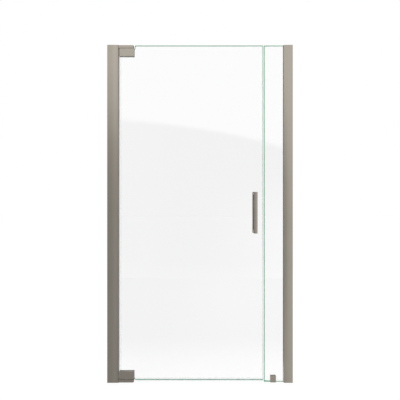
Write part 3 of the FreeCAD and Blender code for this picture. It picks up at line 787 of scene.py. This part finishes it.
def widen_bevels(pane, side, lower, upper):
    """Moves the inner line of the bevels on, by a width for upright, for lower and for upper edges."""
    face_y = max(v.co.y for v in pane.verts)
    shifts = {}
    for v in pane.verts:
        bevels = [f.normal for f in v.link_faces if bevel_lean[0] < abs(f.normal.y) < bevel_lean[1]]
        if bevels and abs(v.co.y) > face_y - touch:
            ways = [Vector((n.x, 0.0, n.z)).normalized() for n in bevels]
            way = ways[0]
            extra = side * abs(way.x) + (lower if way.z < 0 else upper) * abs(way.z)
            mean = sum(ways, Vector()).normalized()
            shifts[v] = mean * (-extra / max(mean.dot(way), least_corner))
    for v, shift in shifts.items():
        v.co += shift


flat_face = 0.999
edge_lean = 0.3
bevel_area = 300.0 * mm * mm


def ground_pane(node, body, bevel_extra, *polished_ways):
    """A pane with its CAD shape, wider bevels, and an edge finish of its own.

    An edge that faces one of the polished ways is clear, apart from its bevels, which are small faces.
    """
    mesh = nodes[node].data.copy()
    mesh.name = f"{node}_ground"
    pane = bmesh.new()
    pane.from_mesh(mesh)
    bmesh.ops.remove_doubles(pane, verts=pane.verts, dist=touch)
    pane.normal_update()
    widen_bevels(pane, *bevel_extra)
    pane.normal_update()
    for f in pane.faces:
        polished = any(f.normal.dot(way) > edge_lean for way in polished_ways)
        clear = abs(f.normal.y) > flat_face or (polished and f.calc_area() > bevel_area)
        f.material_index = 0 if clear else 1
    mesh.materials.clear()
    mesh.materials.append(float_glass)
    mesh.materials.append(ground_edge)
    pane.to_mesh(mesh)
    pane.free()
    piece = bpy.data.objects.new(mesh.name, mesh)
    bpy.context.scene.collection.objects.link(piece)
    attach(piece, body)
    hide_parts(node)


left, right, down = Vector((-1, 0, 0)), Vector((1, 0, 0)), Vector((0, 0, -1))
ground_pane("door_glass", "door", (0.0, 1.8 * mm, 2.0 * mm), left, right)
ground_pane("panel_glass", "frame", (2.6 * mm, 0.0, 2.0 * mm), down, right)


# ---- Seals ----------------------------------------------------------------------------------------
# Clear soft vinyl, extruded and pushed on the edges of the glass: a fin towards the pivot jamb, one on
# the free edge of the door, two wipers under it, and a lip on the panel that the door closes against.
# Where a seal is solid from front to rear, just under the glass, a denser band is painted darker and green:
# painted shade, and a painted glow of the green glass edge in the clear vinyl.
haze_scale = 60.0
haze_spread = 0.05
haze_roughness = 0.08
vinyl_roughness = 0.10


def vinyl(name, colour, thin, painted_band_opacity=None, painted_band=(0.0, 0.0)):
    """Clear vinyl of an opacity, and denser between two heights, where the band carries painted shade and
    painted glow in a dark or green colour.
    """
    finish, wire = blank_finish(name)
    place = object_place(wire)
    haze = noise(wire, place, haze_scale, 3.0)
    opacity = thin
    if painted_band_opacity:
        low, high = painted_band
        height = across(wire, "Z")
        in_painted_band = height.math("GREATER_THAN", low) * height.math("LESS_THAN", high)
        opacity = in_painted_band * (painted_band_opacity - thin) + thin
    solid_surface(wire, {
        "Base Color": tinted(wire, haze, colour, haze_spread),
        "Roughness": haze * haze_roughness + vinyl_roughness,
        "Alpha": opacity,
    })
    return finish


sweep_low, sweep_high = box_of("door_sweep")
sweep_leg = 11.0 * mm
sweep_web = 2.6 * mm
glass_low = sweep_high.z - sweep_leg
base_low, base_high = box_of("panel_base_seals")
band_margin = 0.1 * mm
seal_vinyl = vinyl("seal_vinyl", (0.86, 0.89, 0.88), 0.03)
# Painted shade and painted glow: the sweep's dark teal and the base seals' green stand for the green glass
# edge shining into the clear vinyl, densest in a band just under the glass.
sweep_vinyl_painted_shade = vinyl("sweep_vinyl_painted_shade", (0.16, 0.30, 0.30), 0.03, 0.55, (glass_low - sweep_web, glass_low))
painted_base_band = (base_low.z - band_margin, base_high.z + band_margin)
base_vinyl_painted_glow = vinyl("base_vinyl_painted_glow", (0.08, 0.46, 0.20), 0.03, 0.22, painted_base_band)

# An outline with rounded corners, swept along a straight line.
seal_sweep = new_tree("seal_sweep", {"Start": "Vector", "End": "Vector", "Round": "Float", "Steps": "Int"})
wire = Wire(seal_sweep)
rounding = {"Curve": given(wire, "Shape"), "Count": given(wire, "Steps"), "Radius": given(wire, "Round")}
outline = wire.add("GeometryNodeFilletCurve", {"mode": "POLY"}, {**rounding, "Limit Radius": True})
line_ends = {"Start": given(wire, "Start"), "End": given(wire, "End")}
run = wire.add("GeometryNodeCurvePrimitiveLine", inputs=line_ends)
swept = {"Curve": run, "Profile Curve": outline, "Fill Caps": True}
close_tree(wire.add("GeometryNodeCurveToMesh", inputs=swept))

half_glass = 5.0 * mm
glass_gap = 0.1 * mm
seal_wall = 0.9 * mm
seal_rounding = 0.35 * mm
rounding_steps = 3
grip_inside = half_glass + glass_gap
grip_outside = grip_inside + seal_wall


def seal(node, body, points, start, end, finish):
    """A seal of one outline, swept from one end to the other."""
    outline = bpy.data.curves.new(f"{node}_outline", "CURVE")
    outline.dimensions = "2D"
    outline.fill_mode = "NONE"
    spline = outline.splines.new("POLY")
    spline.points.add(len(points) - 1)
    spline.use_cyclic_u = True
    for spot, (x, y) in zip(spline.points, points):
        spot.co = (x, y, 0.0, 1.0)
    shape = bpy.data.objects.new(f"{node}_outline", outline)
    bpy.context.scene.collection.objects.link(shape)
    values = {"Start": start, "End": end, "Round": seal_rounding, "Steps": rounding_steps, "Finish": finish}
    grown(f"{node}_extruded", shape, seal_sweep, values, body, node)


fin_leg = 8.0 * mm
fin_root = 0.5 * mm
fin_tip = 0.25 * mm


def finned_seal(node, way):
    """A U on an edge of the door, with a fin from the middle of its back to the far side of its CAD box."""
    low, high = box_of(node)
    tip, leg_end = (low.x, high.x) if way < 0 else (high.x, low.x)
    edge = leg_end + way * fin_leg
    inner = edge + way * glass_gap
    outer = inner + way * seal_wall
    upper = [(leg_end, grip_inside), (leg_end, grip_outside), (outer, grip_outside)]
    fin = [(outer, fin_root), (tip, fin_tip), (tip, -fin_tip), (outer, -fin_root)]
    lower = [(outer, -grip_outside), (leg_end, -grip_outside), (leg_end, -grip_inside)]
    points = upper + fin + lower + [(inner, -grip_inside), (inner, grip_inside)]
    seal(node, "door", points, (0.0, 0.0, low.z), (0.0, 0.0, high.z), seal_vinyl)


finned_seal("door_hinge_seal", -1)
finned_seal("door_strike_seal", 1)

# The sweep's outline lies in Y and Z, and the tree turns both over for a run along X.
wiper_root = 4.2 * mm
wiper_inside = 5.0 * mm
wiper_outside = 5.9 * mm
tip = sweep_low.z - glass_low
wiper = [
    (grip_inside, sweep_leg), (grip_outside, sweep_leg), (grip_outside, -sweep_web),
    (wiper_outside, tip), (wiper_inside, tip), (wiper_root, -sweep_web),
]
mirror = [(-y, z) for y, z in reversed(wiper)]
cradle = [(-grip_inside, -glass_gap), (grip_inside, -glass_gap)]
points = [(-y, -(glass_low + z)) for y, z in wiper + mirror + cradle]
seal("door_sweep", "door", points, (sweep_low.x, 0.0, 0.0), (sweep_high.x, 0.0, 0.0), sweep_vinyl_painted_shade)

# The stop seal is a U on the panel's free edge, whose rear leg goes on as a lip behind the door.
low, high = box_of("panel_stop_seal")
stop_leg = 8.0 * mm
panel_edge = high.x - stop_leg
stop_back = panel_edge - glass_gap
stop_front = panel_edge - glass_gap - seal_wall
lip_front = 6.3 * mm
lip_round = 0.1 * mm
lip = [
    (stop_front, lip_front), (low.x, lip_front + lip_round), (low.x, high.y - lip_round),
    (panel_edge, high.y), (high.x, grip_outside),
]
grip = [(high.x, grip_inside), (stop_back, grip_inside), (stop_back, -grip_inside), (high.x, -grip_inside)]
points = lip + grip + [(high.x, -grip_outside), (stop_front, -grip_outside)]
seal("panel_stop_seal", "frame", points, (0.0, 0.0, low.z), (0.0, 0.0, high.z), seal_vinyl)
dress(base_vinyl_painted_glow, "panel_base_seals")


# ---- The end --------------------------------------------------------------------------------------
# The box of what is seen is worked out.
low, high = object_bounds()
